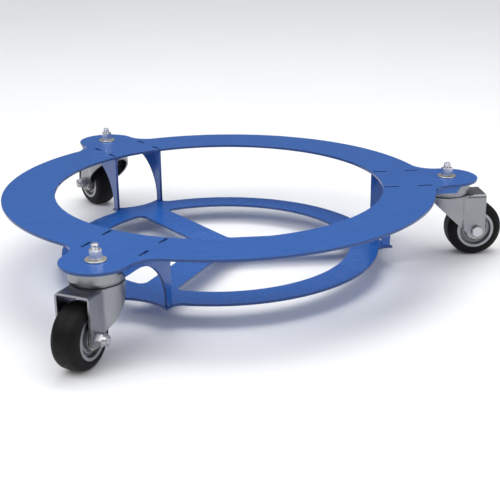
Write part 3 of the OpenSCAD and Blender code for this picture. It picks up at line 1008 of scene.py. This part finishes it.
    def build(self, finishes: Finishes) -> list[bpy.types.Object]:
        """Builds and dresses the deck.

        Args:
            finishes: the materials.

        Returns:
            The ring, the lower plate and the gussets.
        """
        ring = new_object("deck_ring", self.ring(), finishes.deck)
        base = new_object("lower_plate", self.base(), finishes.deck)
        gussets = self.trees["ring"].run("gussets", self.gusset_pair(), Count=3,
                                         Material=finishes.deck)
        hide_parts("top_ring")
        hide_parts("base_plate")
        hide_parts(*[f"gusset_{k}_{side}" for k in CASTERS
                               for side in ("left", "right")])
        for piece in (ring, base, gussets):
            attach(piece, "deck")
        return [ring, base, gussets]


# ---------------------------------------------------------------- fasteners


@dataclass
class Fasteners:
    """Threaded ends, flat washers and both kinds of nut, in the frame of what they sit on."""

    thread_r: float = 6.35
    root_r: float = 5.45
    pitch: float = 1.954
    ridge_share: float = 0.62
    run_out: float = 1.6
    end_chamfer_h: float = 0.4
    end_chamfer_r: float = 0.8
    flats: float = 19.05
    nut_h: float = 15.5
    axle_hex_h: float = 13.5
    axle_nut_h: float = 19.0
    washer_r: float = 17.45
    washer_t: float = 2.5
    hole_r: float = 6.75
    trees: dict[str, Tree] = field(default_factory=dict)

    def threaded_end(self, name: str, bottom: float, top: float,
                     material: bpy.types.Material) -> bpy.types.Mesh:
        """A threaded rod end along z, chamfered at its top.

        Args:
            name: the mesh's name.
            bottom: height where the thread starts.
            top: height of the rod's end.
            material: its finish.

        Returns:
            The rod's mesh, thread and all.
        """
        rod = rounded([
            (0.0, bottom, 0), (self.root_r, bottom, 0),
            (self.root_r, top - self.end_chamfer_h, 0.2),
            (self.root_r - self.end_chamfer_r, top, 0.2), (0.0, top, 0)], closed=False)
        core = lathe(rod, 48, closed=False)
        core.transform(Matrix.Translation((0, 0, -bottom * MM)))
        depth = self.ridge_share * self.pitch
        made = self.trees["thread"].run(
            name, core, Radius=(self.thread_r - depth) * MM, Pitch=self.pitch * MM,
            Length=(top - bottom - self.run_out) * MM, Depth=depth * MM, Material=material)
        mesh = made.data
        bpy.data.objects.remove(made)
        mesh.transform(Matrix.Translation((0, 0, bottom * MM)))
        shade(mesh, THREAD_SHARP_ANGLE)
        return mesh

    def washer(self, bottom: float) -> bpy.types.Mesh:
        """A flat washer with rolled edges, lying at a height."""
        top = bottom + self.washer_t
        return lathe(rounded([(self.hole_r, bottom, 0.25), (self.washer_r, bottom, 0.35),
                              (self.washer_r, top, 0.7), (self.hole_r, top, 0.3)]), 96)

    def marked(self, parts: Sequence[tuple[bpy.types.Mesh, float]], name: str,
               bottom: float) -> bpy.types.Mesh:
        """Joins a nut's parts and marks which of them is the insert.

        Args:
            parts: each part with 1 for the insert and 0 for the metal.
            name: the joined mesh's name.
            bottom: height of the nut's foot.

        Returns:
            The mesh, with the attribute "insert".
        """
        for part, value in parts:
            layer = part.attributes.new("insert", "FLOAT", "POINT")
            layer.data.foreach_set("value", [value] * len(part.vertices))
        mesh = join(name, [part for part, _ in parts])
        mesh.transform(Matrix.Translation((0, 0, bottom * MM)))
        return mesh

    def stem_nut(self, bottom: float) -> bpy.types.Mesh:
        """A plain tall hexagon nut with its bore's chamfer, standing at a height."""
        body = hex_body(self.flats, self.nut_h, self.thread_r + 0.5)
        top, r = self.nut_h, self.thread_r
        bore = lathe(rounded([(r - 0.4, top - 1.4, 0), (r + 0.62, top - 1.4, 0),
                              (r + 0.62, top - 0.05, 0.1), (r + 0.45, top - 0.05, 0.05),
                              (r - 0.4, top - 0.9, 0)]), 64)
        return self.marked([(body, 0.0), (bore, 0.0)], "stem_nut", bottom)

    def lock_nut(self, bottom: float) -> bpy.types.Mesh:
        """The axle's lock nut with its round collar and insert, standing at a height."""
        r, root = self.flats / 2 - 0.4, self.thread_r - 0.15
        foot, top = self.axle_hex_h, self.axle_nut_h
        rim = r - 1.7
        body = hex_body(self.flats, foot, self.thread_r - 0.3)
        collar = lathe(rounded([
            (root, foot - 1.0, 0), (r - 0.1, foot - 1.0, 0), (r - 0.15, foot + 0.6, 0.4),
            (r - 0.3, top, 0.9), (rim, top, 0.35), (rim, top - 1.3, 0.2),
            (root, top - 1.3, 0)]), 72)
        insert = lathe(rounded([
            (root, top - 2.0, 0), (rim + 0.2, top - 2.0, 0), (rim + 0.2, top - 1.05, 0.15),
            (root, top - 1.05, 0.3)]), 72)
        return self.marked([(body, 0.0), (collar, 0.0), (insert, 1.0)], "lock_nut", bottom)


@dataclass
class StemSet:
    """The three caster stems with their washers and nuts, above and below the ears."""

    fasteners: Fasteners
    caster_r: float = 436.3
    ear_z: float = 110.6
    plate_t: float = 4.8
    top: float = 32.1
    root_z: float = 5.0
    thread_z: float = 4.6
    seat_z: float = -3.0
    shoulder_z: float = -8.0
    nut_turn: float = math.radians(11)
    shoulder_r: float = 13.0
    kingpin_r: float = 9.0
    race_z: float = -34.64
    foot_z: float = -38.04
    peen_r: float = 9.95
    peen_h: float = 3.0
    trees: dict[str, Tree] = field(default_factory=dict)

    def stem(self, material: bpy.types.Material) -> bpy.types.Mesh:
        """One stem: threaded end, shoulder, kingpin and headed foot."""
        r = self.fasteners.thread_r
        body = lathe(rounded([
            (0, self.root_z, 0), (r, self.root_z, 0.2), (r, self.seat_z, 0.2),
            (self.shoulder_r, self.seat_z, 0.5), (self.shoulder_r, self.shoulder_z, 0.5),
            (self.kingpin_r, self.shoulder_z, 0.4),
            (self.kingpin_r, self.race_z, 0.3), (r, self.race_z, 0.2), (r, self.foot_z, 0.2),
            (self.peen_r, self.foot_z, 0.6), (self.peen_r - 1.5, self.foot_z - self.peen_h, 1.2),
            (0, self.foot_z - self.peen_h, 0)], closed=False), 64, closed=False)
        thread = self.fasteners.threaded_end("stem_thread", self.thread_z, self.top, material)
        return join("stem", [body, thread])

    def build(self, finishes: Finishes) -> list[bpy.types.Object]:
        """Builds the stems, washers and nuts on all three ears.

        Args:
            finishes: the materials.

        Returns:
            One piece of each kind.
        """
        place = Matrix.Translation((self.caster_r * MM, 0, self.ear_z * MM))
        washer_z = self.plate_t
        nut_z = washer_z + self.fasteners.washer_t
        nut = self.fasteners.stem_nut(nut_z)
        nut.transform(Matrix.Rotation(self.nut_turn, 4, "Z"))
        made = []
        for name, mesh, look, node in (
                ("caster_stems", self.stem(finishes.bright), finishes.bright, "caster_stem"),
                ("stem_washers", self.fasteners.washer(washer_z), finishes.washer,
                 "stem_washer"),
                ("stem_nuts", nut, finishes.bright, "stem_nut")):
            mesh.transform(place)
            piece = self.trees["ring"].run(name, mesh, Count=3, Material=look)
            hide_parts(*[f"{node}_{k}" for k in CASTERS])
            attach(piece, "deck")
            made.append(piece)
        return made


# ---------------------------------------------------------------- caster


@dataclass
class Fork:
    """The pressed fork: flat sides, bent-over shoulders and a round back."""

    side_y: float = 30.5
    back_r: float = 43.5
    sheet: float = 3.5
    bend_r: float = 6.0
    back_edge_r: float = 1.5
    blend_r: float = 12.0
    front_x: float = 71.8
    crown_z: float = -26.0
    axle_x: float = 56.0
    axle_z: float = -97.3
    foot_r: float = 15.5
    slope_deg: float = 43.0
    back_z: float = -31.25
    stem_hole_r: float = 9.8
    leg_columns: int = 30
    slope_columns: int = 4
    blend_columns: int = 8
    back_columns: int = 34
    bend_rows: int = 8
    crown_rows: tuple[float, ...] = (0.0, 0.3, 0.6, 0.85, 0.985)
    wall_rows: tuple[float, ...] = (0.02, 0.2, 0.4, 0.6, 0.8, 1.0)
    least_bend: float = 0.6
    crown_pull: float = 0.25
    drill_from: float = -60.0
    drill_to: float = 10.0
    edge_round: float = 0.5
    edge_angle: float = math.radians(55)

    def touch(self) -> Point:
        """Where the sloping lower edge leaves the round foot, in x and z."""
        a = math.radians(self.slope_deg)
        return (self.axle_x - self.foot_r * math.sin(a), self.axle_z - self.foot_r * math.cos(a))

    def low(self, x: float) -> float:
        """Height of the sloping lower edge at a distance along the fork."""
        tx, tz = self.touch()
        return min(self.back_z, tz + (tx - x) * math.tan(math.radians(self.slope_deg)))

    def stations(self, inset: float) -> list[tuple[Point, Point, float, Point]]:
        """The fork's half plan, from its front edge round to the middle of its back.

        Args:
            inset: 0 for the outside face, or the sheet's thickness for the inside face.

        Returns:
            For each station: the plan point, the point on the middle line, the radius of the
            shoulder's bend, and the lower edge's x and z.
        """
        blend_x = math.sqrt((self.back_r + self.blend_r) ** 2 - (self.side_y + self.blend_r) ** 2)
        centre = (blend_x, self.side_y + self.blend_r)
        tx, tz = self.touch()
        lower = [(self.front_x, self.axle_z)]
        lower += arc((self.axle_x, self.axle_z), self.foot_r, 0, -90 - self.slope_deg,
                     self.leg_columns - self.slope_columns - 1)
        lower += [(tx + (blend_x - tx) * t, tz + (self.low(blend_x) - tz) * t)
                  for t in [(n + 1) / self.slope_columns for n in range(self.slope_columns)]]
        bend = max(self.bend_r - inset, self.least_bend)
        back = max(self.back_edge_r - inset, self.least_bend)
        out = []
        for i, foot in enumerate(lower):
            t = i / (len(lower) - 1)
            x = self.front_x + (blend_x - self.front_x) * t
            out.append(((x, self.side_y - inset), (x, 0.0), bend, foot))
        turn = math.degrees(math.atan2(centre[1], centre[0]))
        for i in range(1, self.blend_columns + 1):
            t = i / self.blend_columns
            a = math.radians(-90 + (turn + 180 - 270) * t)
            r = self.blend_r + inset
            p = (centre[0] + r * math.cos(a), centre[1] + r * math.sin(a))
            out.append((p, (blend_x * (1 - self.crown_pull * t), 0.0),
                        bend + (back - bend) * t, (p[0], self.low(p[0]))))
        for i in range(1, self.back_columns + 1):
            t = i / self.back_columns
            a = math.radians(turn + (180 - turn) * t)
            p = ((self.back_r - inset) * math.cos(a), (self.back_r - inset) * math.sin(a))
            out.append((p, ((1 - self.crown_pull) * blend_x * (1 - t), 0.0), back,
                        (p[0], self.low(p[0]))))
        return out

    def shell(self, inset: float) -> list[list[tuple[float, float, float]]]:
        """Columns of points down one half of one face of the sheet.

        Args:
            inset: 0 for the outside face, or the sheet's thickness.

        Returns:
            One column for each station, from the middle line to the lower edge.
        """
        top = self.crown_z - inset
        stations = self.stations(inset)
        columns = []
        for i, (plan, middle, bend, foot) in enumerate(stations):
            nearby = stations[min(i + 1, len(stations) - 1)][0], stations[max(i - 1, 0)][0]
            along = Vector((nearby[0][0] - nearby[1][0], nearby[0][1] - nearby[1][1]))
            if i == len(stations) - 1:
                along = Vector((0.0, -1.0))
            outward = Vector((along.y, -along.x)).normalized()
            if outward.dot(Vector(plan) - Vector(middle)) < 0:
                outward = -outward
            edge, core = Vector(plan), Vector(middle)
            start = edge - outward * bend
            column = []
            for t in self.crown_rows:
                q = core.lerp(start, t)
                column.append((q.x, q.y, top))
            for step in range(self.bend_rows + 1):
                a = math.radians(90 * step / self.bend_rows)
                q = start + outward * bend * math.sin(a)
                column.append((q.x, q.y, top - bend * (1 - math.cos(a))))
            first = top - bend
            for t in self.wall_rows:
                x = plan[0] + (foot[0] - plan[0]) * t
                column.append((x, plan[1], first + (foot[1] - first) * t))
            columns.append(column)
        return columns

    def build(self, finishes: Finishes) -> bpy.types.Mesh:
        """Builds one fork in its caster's frame.

        Args:
            finishes: the materials.

        Returns:
            The finished mesh.
        """
        verts: list[tuple[float, float, float]] = []
        faces: list[tuple[int, ...]] = []
        shells = [self.shell(0.0), self.shell(self.sheet)]
        wide, tall = len(shells[0]), len(shells[0][0])
        index: dict[tuple[int, int, int, int], int] = {}
        for mirror, sign in enumerate((1, -1)):
            for layer, columns in enumerate(shells):
                for i, column in enumerate(columns):
                    for j, (x, y, z) in enumerate(column):
                        index[mirror, layer, i, j] = len(verts)
                        verts.append((x, sign * y, z))
        for mirror in (0, 1):
            for i in range(wide - 1):
                for j in range(tall - 1):
                    for layer in (0, 1):
                        quad = [index[mirror, layer, *p] for p in
                                ((i, j), (i + 1, j), (i + 1, j + 1), (i, j + 1))]
                        if (layer + mirror) % 2:
                            quad.reverse()
                        faces.append(tuple(quad))
                last = tall - 1
                faces.append(tuple(index[mirror, layer, q, last] for layer, q in
                                   ((0, i), (0, i + 1), (1, i + 1), (1, i))))
            for j in range(tall - 1):
                faces.append(tuple(index[mirror, layer, 0, q] for layer, q in
                                   ((0, j), (0, j + 1), (1, j + 1), (1, j))))
        mesh = mesh_from(verts, faces, 0.002)
        obj = new_object("fork_blank", mesh, finishes.sheet)
        drill = new_object("drill", lathe([
            (0, self.drill_from), (self.stem_hole_r, self.drill_from),
            (self.stem_hole_r, self.drill_to), (0, self.drill_to)], 48, False))
        cut = obj.modifiers.new("stem_hole", "BOOLEAN")
        cut.operation, cut.object, cut.solver = "DIFFERENCE", drill, "EXACT"
        bake(obj)
        soften = obj.modifiers.new("edges", "BEVEL")
        soften.width, soften.segments = self.edge_round * MM, 2
        soften.limit_method, soften.angle_limit = "ANGLE", self.edge_angle
        soften.harden_normals = True
        obj.data.polygons.foreach_set("use_smooth", [True] * len(obj.data.polygons))
        bake(obj)
        mesh = obj.data
        bpy.data.objects.remove(obj)
        bpy.data.objects.remove(drill)
        return mesh


@dataclass
class Caster:
    """One swivel caster: cap, fork, axle set and wheel, in its own frame until placed."""

    fasteners: Fasteners
    fork: Fork = field(default_factory=Fork)
    caster_r: float = 436.3
    ear_z: float = 110.6
    cap_r: float = 44.5
    cap_t: float = 3.0
    cap_bore_r: float = 6.75
    neck_r: float = 42.0
    rim_z: float = -20.0
    neck_z: float = -25.3
    bolt_head_h: float = 6.5
    nut_turn: float = math.radians(17)
    bolt_end: float = 51.0
    head_face_r: float = 8.9
    head_face_in_r: float = 5.0
    head_face_h: float = 0.5
    core_r: float = 35.7
    core_half: float = 23.2
    hub_r: float = 19.05
    hub_half: float = 25.1
    bore_r: float = 14.65
    tyre_r: float = 53.0
    tyre_half: float = 23.65
    shoulder_r: float = 13.6

    def cap(self) -> bpy.types.Mesh:
        """The round swivel cap that hides the upper row of balls."""
        t = self.cap_t
        return lathe(rounded([
            (self.cap_bore_r, 0.0, 0.3), (self.cap_r, 0.0, 1.6), (self.cap_r, self.rim_z, 2.2),
            (self.neck_r, self.neck_z, 0.6), (self.neck_r - t, self.neck_z, 0.5),
            (self.cap_r - t, self.rim_z, 1.0), (self.cap_r - t, -t, 1.0),
            (self.cap_bore_r, -t, 0.3)], steps=5), 128)

    def bolt(self, material: bpy.types.Material) -> bpy.types.Mesh:
        """The axle bolt along z, with its head's seat at the fork's side."""
        seat = self.fork.side_y
        head = hex_body(self.fasteners.flats, self.bolt_head_h, 0.0, chamfer_foot=False)
        head.transform(Matrix.Translation((0, 0, seat * MM)))
        low, high = seat - 0.05, seat + self.head_face_h
        ring = lathe(rounded([
            (self.head_face_in_r, low, 0), (self.head_face_r, low, 0.1),
            (self.head_face_r, high, 0.2), (self.head_face_in_r, high, 0)]), 64)
        r = self.fasteners.thread_r
        shank = lathe(rounded([(0, seat + 1.0, 0), (r, seat + 1.0, 0), (r, -seat, 0.2),
                               (0, -seat, 0)], closed=False), 48, closed=False)
        thread = self.fasteners.threaded_end("axle_thread", seat - 1.0, self.bolt_end, material)
        thread.transform(Matrix.Rotation(math.pi, 4, "X"))
        return join("axle_bolt", [head, ring, shank, thread])

    def nut(self) -> bpy.types.Mesh:
        """The axle's lock nut, on the side away from the bolt's head."""
        mesh = self.fasteners.lock_nut(self.fork.side_y)
        mesh.transform(Matrix.Rotation(self.nut_turn, 4, "Z"))
        mesh.transform(Matrix.Rotation(math.pi, 4, "X"))
        return mesh

    def core(self) -> bpy.types.Mesh:
        """The wheel's core: flanged rim, pressed groove and lip, and hub."""
        h = self.core_half
        half = [(self.core_r, h, 0.3), (30.2, h, 0.9), (28.8, 15.4, 1.6), (25.8, 14.8, 1.6),
                (24.6, 19.0, 0.9), (22.4, 19.3, 0.9), (20.9, 16.6, 1.2), (19.4, 17.2, 0.6),
                (self.hub_r, self.hub_half - 0.1, 0.5), (self.bore_r, self.hub_half - 0.1, 0.5)]
        other = [(r, -z, f) for r, z, f in reversed(half)]
        return lathe(rounded(half + other, steps=4), 96)

    def tyre(self) -> bpy.types.Mesh:
        """The rubber tyre, with moulded rings on its sides and a fine parting line."""
        r, h, s = self.tyre_r - 0.12, self.tyre_half, self.shoulder_r
        top = [(r + 0.12, 0.0), (r + 0.12, 0.22), (r, 0.42), (r, 1.2)]
        shoulder = arc((r - s, h - s), s, 0, 90, 18)
        ring = [(38.9, h), (38.6, h - 0.35), (38.2, h - 0.38), (37.9, h - 0.1),
                (self.core_r + 1.1, h - 0.1), (self.core_r + 0.4, h - 0.5),
                (self.core_r, h - 1.0)]
        half = top + shoulder + ring
        other = [(q, -z) for q, z in reversed(half)][:-1]
        return lathe(half + other, 128)

    def place(self, mesh: bpy.types.Mesh, axis: Axis, k: int) -> bpy.types.Mesh:
        """Copies a mesh into its place on one ear.

        Args:
            mesh: a mesh in the caster's frame, or along z for a piece on the axle.
            axis: which of the two it is.
            k: the caster's number.

        Returns:
            The placed copy.
        """
        copy = mesh.copy()
        local = Matrix.Identity(4)
        if axis is Axis.AXLE:
            local = Matrix.Translation((self.fork.axle_x * MM, 0, self.fork.axle_z * MM)) @ (
                Matrix.Rotation(math.pi / 2, 4, "X"))
        copy.transform(Matrix.Rotation((k - 1) * EAR_STEP, 4, "Z")
                       @ Matrix.Translation((self.caster_r * MM, 0, self.ear_z * MM)) @ local)
        return copy

    def build(self, finishes: Finishes) -> list[bpy.types.Object]:
        """Builds and places all three casters.

        Args:
            finishes: the materials.

        Returns:
            The placed pieces.
        """
        kinds: list[tuple[str, bpy.types.Mesh, Axis, bpy.types.Material, Slot, str]] = [
            ("swivel_cap", self.cap(), Axis.SWIVEL, finishes.sheet, Slot.CASTER, "deck"),
            ("fork", self.fork.build(finishes), Axis.SWIVEL, finishes.sheet, Slot.CASTER,
             "swivel"),
            ("axle_bolt", self.bolt(finishes.axle), Axis.AXLE, finishes.axle, Slot.BRIGHT,
             "swivel"),
            ("axle_nut", self.nut(), Axis.AXLE, finishes.axle, Slot.BRIGHT, "swivel"),
            ("wheel_core", self.core(), Axis.AXLE, finishes.wheel, Slot.WHEEL, "wheel"),
            ("tyre", self.tyre(), Axis.AXLE, finishes.tyre, Slot.TYRE, "wheel")]
        made = []
        for name, mesh, axis, look, slot, body in kinds:
            for k in CASTERS:
                piece = new_object(f"{name}.{k}", self.place(mesh, axis, k), look)
                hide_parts(f"{name}_{k}")
                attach(piece, body if body == "deck" else f"{body}_{k}")
                made.append(piece)
        return made


# ---------------------------------------------------------------- inner pieces


def dress_inner_nodes(finishes: Finishes) -> list[str]:
    """Gives the CAD nodes that stay on show their finishes.

    Args:
        finishes: the materials.

    Returns:
        The names of the nodes.
    """
    looks = {"lower_race": finishes.sheet, "swivel_balls": finishes.bearing,
             "axle_sleeve": finishes.bearing, "thrust_washers": finishes.bearing,
             "roller_bearing": finishes.bearing}
    done = []
    for name, look in looks.items():
        for k in CASTERS:
            node = frame["nodes"][f"{name}_{k}"]
            if not node.material_slots:
                node.data.materials.append(look)
            for material_slot in node.material_slots:
                material_slot.material = look
            done.append(node.name)
    return done


# ---------------------------------------------------------------- studio


@dataclass(frozen=True)
class Softbox:
    """One rectangular soft light: its place, its aim, its size and its power in watts."""

    name: str
    at: tuple[float, float, float]
    towards: tuple[float, float, float]
    size: tuple[float, float]
    power: float
    in_reflections: bool = True

    def build(self) -> None:
        """Makes the light and turns it to its aim."""
        data = bpy.data.lights.new(self.name, "AREA")
        data.shape, data.size, data.size_y = "RECTANGLE", *self.size
        data.energy = self.power
        light = bpy.data.objects.new(self.name, data)
        light.location = self.at
        aim = Vector(self.towards) - Vector(self.at)
        light.rotation_euler = aim.to_track_quat("-Z", "Y").to_euler()
        if not self.in_reflections:
            light.visible_glossy = False
        bpy.context.scene.collection.objects.link(light)


SOFTBOXES = (
    Softbox("key", (-1.9, -1.3, 2.6), (0, 0, 0), (1.8, 1.8), 32),
    Softbox("fill", (2.6, -1.6, 1.6), (0.1, 0, 0.05), (1.6, 1.6), 12),
    Softbox("front", (0.9, -3.2, 1.0), (0, 0, 0.05), (1.4, 1.0), 17, in_reflections=False),
    Softbox("top", (0.3, 0.9, 3.0), (0, 0, 0.05), (2.4, 1.6), 30))


@dataclass
class Studio:
    """The pale floor, the soft lights and the camera."""

    camera_at: tuple[float, float, float] = (-0.1361, -1.9054, 0.6773)
    tilt_deg: float = 19.922
    turn_deg: float = -5.768
    roll_deg: float = -0.5795
    lens: float = 76.21
    floor_size: float = 40.0
    low_sky: float = 0.14
    high_sky: float = 1.18
    sky_from: float = 0.36
    sky_to: float = 0.88
    sky_colour: tuple[float, float, float, float] = (0.97, 0.98, 1.0, 1.0)
    backdrop: float = 0.88

    def camera(self) -> bpy.types.Object:
        """Makes the camera and sets it as the scene's."""
        data = bpy.data.cameras.new("camera")
        data.lens, data.sensor_width = self.lens, 36.0
        data.clip_end = 100.0
        camera = bpy.data.objects.new("camera", data)
        look = Euler((math.radians(90 - self.tilt_deg), 0, math.radians(self.turn_deg)))
        camera.matrix_world = (Matrix.Translation(self.camera_at) @ look.to_matrix().to_4x4()
                               @ Matrix.Rotation(math.radians(self.roll_deg), 4, "Z"))
        bpy.context.scene.collection.objects.link(camera)
        bpy.context.scene.camera = camera
        return camera

    def build(self, floor_z: float, finishes: Finishes) -> bpy.types.Object:
        """Builds the floor, the lights, the world and the camera.

        Args:
            floor_z: the floor's height, in metres.
            finishes: the materials.

        Returns:
            The floor.
        """
        self.camera()
        half = self.floor_size / 2
        mesh = bpy.data.meshes.new("floor")
        mesh.from_pydata([(-half, -half, floor_z), (half, -half, floor_z),
                          (half, half, floor_z), (-half, half, floor_z)], [], [(0, 1, 2, 3)])
        floor = new_object("floor", mesh, finishes.floor)
        floor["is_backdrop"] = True
        for softbox in SOFTBOXES:
            softbox.build()
        world = bpy.data.worlds.new("studio")
        world.use_nodes = True
        nodes, links = world.node_tree.nodes, world.node_tree.links
        back = nodes["Background"]
        back.inputs["Color"].default_value = self.sky_colour
        split = nodes.new("ShaderNodeSeparateXYZ")
        links.new(nodes.new("ShaderNodeTexCoord").outputs["Generated"], split.inputs[0])
        fade = nodes.new("ShaderNodeMapRange")
        for name, value in (("From Min", self.sky_from), ("From Max", self.sky_to),
                            ("To Min", self.low_sky), ("To Max", self.high_sky)):
            fade.inputs[name].default_value = value
        links.new(split.outputs["Z"], fade.inputs["Value"])
        seen = nodes.new("ShaderNodeMix")
        seen.inputs["B"].default_value = self.backdrop
        links.new(nodes.new("ShaderNodeLightPath").outputs["Is Camera Ray"],
                  seen.inputs["Factor"])
        links.new(fade.outputs["Result"], seen.inputs["A"])
        links.new(seen.outputs["Result"], back.inputs["Strength"])
        bpy.context.scene.world = world
        bpy.context.scene.view_settings.view_transform = "Standard"
        return floor


# ---------------------------------------------------------------- main


def corners(box: tuple[Vector, Vector]) -> list[list[float]]:
    """A box's two corners as plain lists."""
    return [[round(c, 6) for c in corner] for corner in box]


def report(pieces: Iterable[bpy.types.Object]) -> None:
    """Logs each piece with its count of faces."""
    for piece in pieces:
        LOG.info("%s: %d faces", piece.name, len(piece.data.polygons))


def main() -> None:
    """Builds the studio and every piece in order, and logs each one."""
    loaded = corners(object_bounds())
    finishes = Finishes()
    Studio().build(loaded[0][2], finishes)
    trees = {"ring": ring_tree(), "thread": thread_tree()}
    fasteners = Fasteners(trees=trees)
    report(Deck(trees=trees).build(finishes))
    report(StemSet(fasteners, trees=trees).build(finishes))
    report(Caster(fasteners).build(finishes))
    LOG.info("CAD nodes kept on show: %s", ", ".join(dress_inner_nodes(finishes)))


if __name__ == "__main__":
    main()
